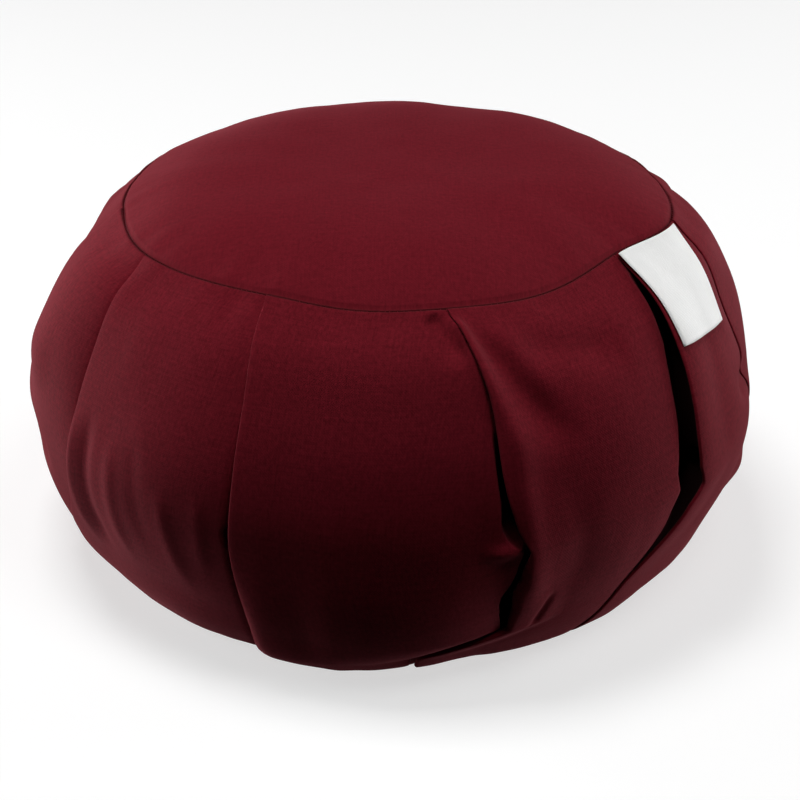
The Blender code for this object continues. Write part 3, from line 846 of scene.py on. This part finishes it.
def build_bottom(material):
    """The flat bottom panel, which the cushion rests on."""
    degs = np.linspace(0, 360, BOTTOM_COLUMNS, endpoint=False)
    rings = [round_points(degs, r + 0 * degs, z) for r, z in BOTTOM_COURSE]
    return ring_piece("cushion_bottom", rings, material, [ring[:, :2] for ring in rings])


# ---------------- the label

# The pleat that it hangs over, how far past that lip its left edge starts and ends, its width there, and
# how far below the seam line it comes out
LABEL_PLEAT = 4
LABEL_LEFT_TOP = -1.0
LABEL_LEFT_FOOT = 1.5
LABEL_WIDTH_TOP = 47.0
LABEL_WIDTH_FOOT = 49.0
LABEL_TOP = 0.8
LABEL_LENGTH = 44.8
# How much longer its right side hangs
LABEL_TILT = 5.0
# It takes the cloth's form from no closer to the next lip than this, so it doesn't dive there
LABEL_REACH = 8.0
# Points each way over it
LABEL_POINTS = 48
LABEL_THICKNESS = 1.1
# How far off the cloth the middle of its thickness lies, how far in its edges are rounded, the square of
# the share of its thickness that they end with, and how much of the cloth's irregularity it follows
LABEL_STAND_OFF = 1.25
LABEL_ROUNDING = 0.6
LABEL_LEAST = 0.05
LABEL_DETAIL = 0.6


def build_label(material):
    """The bare woven label: a band of tape folded in two, its fold at the foot."""
    rows = cols = LABEL_POINTS
    across = np.linspace(0, 1, cols)
    v = np.linspace(0, 1, rows)[:, None]
    share = 1 - (LABEL_TOP + (LABEL_LENGTH + LABEL_TILT * across) * v) / SIDE_LENGTH
    left = LABEL_LEFT_TOP + (LABEL_LEFT_FOOT - LABEL_LEFT_TOP) * v
    width = LABEL_WIDTH_TOP + (LABEL_WIDTH_FOOT - LABEL_WIDTH_TOP) * v
    from_lip = left + width * across
    degs = lip_deg(LABEL_PLEAT, share) + from_lip * deg_per_mm(share)
    to_next = np.maximum(panel_width(LABEL_PLEAT, share) - from_lip, LABEL_REACH)
    under = outer_rise(LABEL_PLEAT, np.maximum(from_lip, 0), to_next, share)
    under += band_detail(degs, share) * LABEL_DETAIL
    inset = np.minimum(np.minimum(across, 1 - across) * LABEL_WIDTH_TOP, (1 - v) * LABEL_LENGTH)
    outset = 1 - np.clip(inset / LABEL_ROUNDING, 0, 1)
    thick = LABEL_THICKNESS * np.sqrt(np.clip(1 - outset**2, LABEL_LEAST, 1))
    points = np.concatenate([
        band_points(degs, under + LABEL_STAND_OFF + half * thick, share).reshape(-1, 3)
        for half in (-0.5, 0.5)
    ])
    uv = np.stack([from_lip, LABEL_LENGTH * (1 - v) + 0 * from_lip], -1).reshape(-1, 2)
    faces = []

    def at(layer, row, col):
        return (layer * rows + row) * cols + col

    for row in range(rows - 1):
        for col in range(cols - 1):
            corners = ((row, col), (row + 1, col), (row + 1, col + 1), (row, col + 1))
            faces.append(tuple(at(1, r, c) for r, c in corners))
            faces.append(tuple(at(0, r, c) for r, c in reversed(corners)))
    edge = [(0, c) for c in range(cols)]
    edge += [(r, cols - 1) for r in range(1, rows)]
    edge += [(rows - 1, c) for c in range(cols - 2, -1, -1)]
    edge += [(r, 0) for r in range(rows - 2, 0, -1)]
    for (r0, c0), (r1, c1) in zip(edge, edge[1:] + edge[:1]):
        faces.append((at(0, r0, c0), at(1, r0, c0), at(1, r1, c1), at(0, r1, c1)))
    return new_piece("label_tape", points, faces, material, np.concatenate([uv, uv]))


# ---------------- materials


class Nodes:
    """The node tree of a material or a world, with short calls for the nodes that the cloths use.

    A node's input is given a value, or another node's socket to be linked to.
    """

    def __init__(self, owner):
        owner.use_nodes = True
        self.owner = owner
        self.tree = owner.node_tree

    def fill(self, node, inputs):
        for name, value in inputs.items():
            if isinstance(value, bpy.types.NodeSocket):
                self.tree.links.new(value, node.inputs[name])
            else:
                node.inputs[name].default_value = value

    def node(self, kind, inputs, **settings):
        made = self.tree.nodes.new("ShaderNode" + kind)
        for name, value in settings.items():
            setattr(made, name, value)
        self.fill(made, inputs)
        return made

    def math(self, operation, a, b=0.0):
        return self.node("Math", {0: a, 1: b}, operation=operation).outputs[0]

    def cloth_uv(self):
        """The place on the cloth, in millimetres: (vector, u, v)."""
        uv = self.node("UVMap", {}, uv_map="weave")
        scale = self.node("VectorMath", {0: uv.outputs[0], "Scale": 1 / MM}, operation="SCALE")
        split = self.node("SeparateXYZ", {0: scale.outputs[0]})
        return scale.outputs[0], split.outputs[0], split.outputs[1]

    def painted(self, name):
        """The values that paint() has kept on the piece."""
        return self.node("Attribute", {}, attribute_name=name).outputs["Fac"]

    def noise(self, vector, kind):
        """A noise of this Noise kind, from 0 to 1."""
        factors = (kind.along_u, kind.along_v, 1.0)
        stretched = self.node("VectorMath", {0: vector, 1: factors}, operation="MULTIPLY")
        return self.node("TexNoise", {
            "Vector": stretched.outputs[0],
            "Scale": kind.scale,
            "Detail": kind.detail,
            "Roughness": kind.rough,
        }).outputs["Fac"]

    def ramp(self, value, low, high, to_low, to_high):
        """The value, led in a straight line from one span to another and held at its ends."""
        return self.node("MapRange", {
            "Value": value, "From Min": low, "From Max": high, "To Min": to_low, "To Max": to_high,
        }).outputs[0]

    def mix(self, share, a, b):
        """A colour at this share of the way from a to b."""
        return self.node("Mix", {0: share, 6: a, 7: b}, data_type="RGBA").outputs[2]

    def bump(self, height, strength, distance, **under):
        inputs = {"Height": height, "Strength": strength, "Distance": distance, **under}
        return self.node("Bump", inputs).outputs[0]


# How fast each noise changes with every millimetre of cloth: its scale, times its share of that along u
# and along v. The dye's is for every metre of the object.
Noise = namedtuple("Noise", "along_u along_v scale detail rough")
WARP = Noise(1.3, 0.05, 1.0, 2.0, 0.5)
WEFT = Noise(0.05, 1.3, 1.0, 2.0, 0.5)
SLUBS = Noise(0.9, 0.6, 0.75, 3.0, 0.6)
FUZZ = Noise(1, 1, 1.5, 3.0, 0.6)
CLOUDS = Noise(1, 1, 0.3, 2.0, 0.5)
DYE = Noise(1, 1, 9.0, 3.0, 0.55)
TAPE_THREADS = Noise(3.5, 0.25, 1.0, 2.0, 0.5)
TAPE_STAINS = Noise(1, 1, 0.09, 2.0, 0.5)
# The middle part of a noise, where nearly all its values lie
NOISE_SPAN = (0.3, 0.7)

# Millimetres from one thread to the next
THREAD_PITCH = 0.62
# How much each layer lightens the cotton, the first four with a mottle of 1, and the tones from which to
# which it goes from dark to light
THREAD_TONE = 0.9
SLUB_TONE = 1.05
FUZZ_TONE = 0.6
WEAVE_TONE = 0.03
CLOUD_TONE = 0.35
DYE_TONE = 0.3
# The lip edges' lightening: wear, and a painted highlight
WEAR_AND_HIGHLIGHT_TONE = 0.22
COTTON_TONES = (-0.5, 0.5)
COTTON_DARK = (0.080, 0.0033, 0.0070, 1.0)
COTTON_LIGHT = (0.195, 0.0100, 0.0195, 1.0)
# The dark colour painted where shade falls: deep in folds and hollows and in the top seam's groove
COTTON_PAINTED_SHADE = (0.026, 0.0085, 0.0080, 1.0)
COTTON_ROUGHNESS = (0.85, 0.95)
COTTON_GLOSS = {
    "Specular IOR Level": 0.06,
    "Sheen Weight": 0.12,
    "Sheen Roughness": 0.40,
    "Sheen Tint": (1.0, 0.32, 0.38, 1.0),
}
# How strong the relief is, and how high it stands, in metres. In it a thread counts THREAD_RELIEF times
# as much as the weave's or the ribs' wave, and the fuzz FUZZ_RELIEF times as much as the slubs.
COTTON_RELIEF = 0.5
SLUB_HEIGHT = 0.00016
WEAVE_HEIGHT = 0.00003
THREAD_RELIEF = 3.0
FUZZ_RELIEF = 0.5


def cotton(name, relief, mottle):
    """Plain burgundy cotton: woven threads of uneven thickness, a dry fuzz and slightly uneven dye.

    relief is how strongly the weave stands up, mottle how uneven its colour is. Its colour is painted
    darker in folds, hollows and the top seam, as painted shade, and lighter on the lip edges, for wear and
    a painted highlight.
    """
    n = Nodes(bpy.data.materials.new(name))
    vector, u, v = n.cloth_uv()
    place = n.node("TexCoord", {}).outputs["Object"]
    turn = np.pi / THREAD_PITCH
    wave_u = n.math("SINE", n.math("MULTIPLY", u, turn))
    wave_v = n.math("SINE", n.math("MULTIPLY", v, turn))
    weave = n.math("MULTIPLY", wave_u, wave_v)
    threads = n.math("MULTIPLY", n.math("ADD", n.noise(vector, WARP), n.noise(vector, WEFT)), 0.5)
    slubs = n.noise(vector, SLUBS)
    fuzz = n.noise(vector, FUZZ)
    tone = n.math("MULTIPLY", n.math("SUBTRACT", threads, 0.5), THREAD_TONE * mottle)
    for layer, weight in (
        (slubs, SLUB_TONE * mottle),
        (fuzz, FUZZ_TONE * mottle),
        (n.noise(vector, CLOUDS), CLOUD_TONE),
        (n.noise(place, DYE), DYE_TONE),
    ):
        tone = n.math("ADD", tone, n.math("MULTIPLY", n.math("SUBTRACT", layer, 0.5), weight))
    # The lip edges are painted lighter: wear, and a painted highlight
    for layer, weight in ((weave, WEAVE_TONE * mottle), (n.painted("wear_and_highlight"), WEAR_AND_HIGHLIGHT_TONE)):
        tone = n.math("ADD", tone, n.math("MULTIPLY", layer, weight))
    color = n.mix(n.ramp(tone, *COTTON_TONES, 0.0, 1.0), COTTON_DARK, COTTON_LIGHT)
    lumpy = n.math("ADD", slubs, n.math("MULTIPLY", fuzz, FUZZ_RELIEF))
    raised = n.math("ADD", weave, n.math("MULTIPLY", threads, THREAD_RELIEF))
    soft = n.bump(lumpy, COTTON_RELIEF * relief, SLUB_HEIGHT)
    # Where shade falls, the colour is painted towards the dark shade colour
    n.fill(n.tree.nodes["Principled BSDF"], {
        "Base Color": n.mix(n.painted("painted_shade"), color, COTTON_PAINTED_SHADE),
        "Roughness": n.ramp(fuzz, *NOISE_SPAN, *COTTON_ROUGHNESS),
        **COTTON_GLOSS,
        "Normal": n.bump(raised, COTTON_RELIEF * relief, WEAVE_HEIGHT, Normal=soft),
    })
    return n.owner


TAPE_DARK = (0.93, 0.93, 0.92, 1)
TAPE_LIGHT = (0.99, 0.99, 0.98, 1)
TAPE_TONES = (0.35, 0.65)
TAPE_THREAD_TONE = 0.6
TAPE_STAIN_TONE = 0.4
TAPE_ROUGHNESS = (0.5, 0.62)
TAPE_SHEEN = 0.15
TAPE_RELIEF = 0.4
TAPE_HEIGHT = 0.00012
RIB_PITCH = 0.5


def label_cloth(name):
    """White satin-woven tape with fine ribs across it."""
    n = Nodes(bpy.data.materials.new(name))
    vector, _, v = n.cloth_uv()
    ribs = n.math("SINE", n.math("MULTIPLY", v, 2 * np.pi / RIB_PITCH))
    threads = n.noise(vector, TAPE_THREADS)
    stained = n.math("MULTIPLY", n.noise(vector, TAPE_STAINS), TAPE_STAIN_TONE)
    tone = n.math("ADD", n.math("MULTIPLY", threads, TAPE_THREAD_TONE), stained)
    share = n.ramp(tone, *TAPE_TONES, 0.0, 1.0)
    raised = n.math("ADD", ribs, n.math("MULTIPLY", threads, THREAD_RELIEF))
    n.fill(n.tree.nodes["Principled BSDF"], {
        "Base Color": n.mix(share, TAPE_DARK, TAPE_LIGHT),
        "Roughness": n.ramp(threads, *NOISE_SPAN, *TAPE_ROUGHNESS),
        "Sheen Weight": TAPE_SHEEN,
        "Normal": n.bump(raised, TAPE_RELIEF, TAPE_HEIGHT),
    })
    return n.owner


# ---------------- the pieces

cotton_side = cotton("cotton_side", relief=1.0, mottle=1.1)
cotton_top = cotton("cotton_top", relief=0.7, mottle=0.72)
cotton_base = cotton("cotton_base", relief=0.8, mottle=1.0)
tape = label_cloth("label_weave")

band = build_band(cotton_side)
top = build_top(cotton_top)
bottom = build_bottom(cotton_base)
label = build_label(tape)
thread = build_stitches(cotton_top)
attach(thread, "root")
for piece, node, slot in (
    (band, "side_band", "cotton"),
    (top, "top_panel", "cotton"),
    (bottom, "bottom_panel", "cotton"),
    (label, "label", "label_cloth"),
):
    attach(piece, "root")
    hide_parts(node)

# ---------------- camera, light and floor

CAMERA_PLACE = (0.004, -0.961, 0.549)
CAMERA_DOWN = 26.75
CAMERA_LENS = 95.27
CAMERA_SENSOR = 36.0


def build_camera():
    data = bpy.data.cameras.new("camera")
    data.sensor_width = CAMERA_SENSOR
    data.lens = CAMERA_LENS
    camera = new_object("camera", data)
    camera.location = CAMERA_PLACE
    camera.rotation_euler = (np.radians(90 - CAMERA_DOWN), 0, 0)
    bpy.context.scene.camera = camera


# The point that every lamp faces, in metres
LIT_POINT = Vector((0.0, 0.0, 0.1))
# Each lamp's direction from there, in degrees round from +X and up, its distance and size in metres and
# its watts. Those below the floor shine through it, in place of the light that a white floor throws back.
Lamp = namedtuple("Lamp", "name round_deg up_deg distance size power")
LAMPS = (
    Lamp("over", 180, 78, 1.9, 0.7, 23.2),
    Lamp("over_front", 308, 60, 1.9, 0.7, 6.8),
    Lamp("left", 174, 0, 1.65, 0.6, 6.2),
    Lamp("left_back", 155, 0, 1.65, 0.6, 24.0),
    Lamp("left_low", 176, -36, 1.65, 0.6, 2.7),
    Lamp("right", 15, 2, 1.65, 1.1, 16.2),
    Lamp("right_back", 38, 5, 1.65, 0.6, 3.5),
    Lamp("right_low", 8, -36, 1.65, 0.6, 5.0),
    Lamp("under", 272, -75, 1.65, 0.6, 1.0),
)
# The soft light all round, by how far up it comes from: -1 straight below, 1 straight above
SKY = ((-1.0, 0.008), (-0.15, 0.006), (0.05, 0.006), (1.0, 0.01))


def build_lights():
    """The lamps, and a dim sky for what they don't reach."""
    for lamp in LAMPS:
        data = bpy.data.lights.new(lamp.name, "AREA")
        data.energy = lamp.power
        data.size = lamp.size
        light = new_object(lamp.name, data)
        turn, lean = np.radians(lamp.round_deg), np.radians(lamp.up_deg)
        way = Vector((np.cos(turn) * np.cos(lean), np.sin(turn) * np.cos(lean), np.sin(lean)))
        light.location = LIT_POINT + lamp.distance * way
        light.rotation_euler = way.to_track_quat("Z", "Y").to_euler()
    world = bpy.data.worlds.new("studio")
    n = Nodes(world)
    split = n.node("SeparateXYZ", {0: n.node("TexCoord", {}).outputs["Generated"]})
    half = n.node("Math", {0: split.outputs[2], 1: 0.5, 2: 0.5}, operation="MULTIPLY_ADD")
    sky = n.node("ValToRGB", {0: half.outputs[0]})
    stops = sky.color_ramp.elements
    while len(stops) < len(SKY):
        stops.new(0.5)
    for stop, (height, level) in zip(stops, SKY):
        stop.position = 0.5 + 0.5 * height
        stop.color = (level, level, level, 1)
    n.fill(n.tree.nodes["Background"], {"Color": sky.outputs[0]})
    bpy.context.scene.world = world


# In metres
FLOOR_REACH = 14.0
WALL_HEIGHT = 9.0
WALL_SIDES = 96
BACKDROP_ROUGHNESS = 0.9


def build_backdrop(name, points, faces, grey, glow):
    """A plain pale surface that is seen, and neither stops light nor throws any at the cushion."""
    mesh = bpy.data.meshes.new(name)
    mesh.from_pydata(points, [], faces)
    n = Nodes(bpy.data.materials.new(name + "_paint"))
    n.fill(n.tree.nodes["Principled BSDF"], {
        "Base Color": (grey, grey, grey, 1),
        "Roughness": BACKDROP_ROUGHNESS,
        "Emission Color": (1, 1, 1, 1),
        "Emission Strength": glow,
    })
    mesh.materials.append(n.owner)
    made = new_object(name, mesh)
    made.visible_diffuse = False
    made.visible_glossy = False
    made.visible_shadow = False


def build_studio():
    """The floor, and a round wall far behind it."""
    turn = np.linspace(0, 2 * np.pi, WALL_SIDES, endpoint=False)
    x, y = FLOOR_REACH * np.cos(turn), FLOOR_REACH * np.sin(turn)
    low = np.stack([x, y, 0 * x], -1).tolist()
    high = np.stack([x, y, 0 * x + WALL_HEIGHT], -1).tolist()
    build_backdrop("floor", low, [tuple(range(WALL_SIDES))], grey=0.45, glow=0.62)
    build_backdrop("wall", low + high, ring_faces(2, WALL_SIDES), grey=0.5, glow=0.7)


build_camera()
build_lights()
build_studio()
bpy.context.scene.view_settings.view_transform = "Standard"
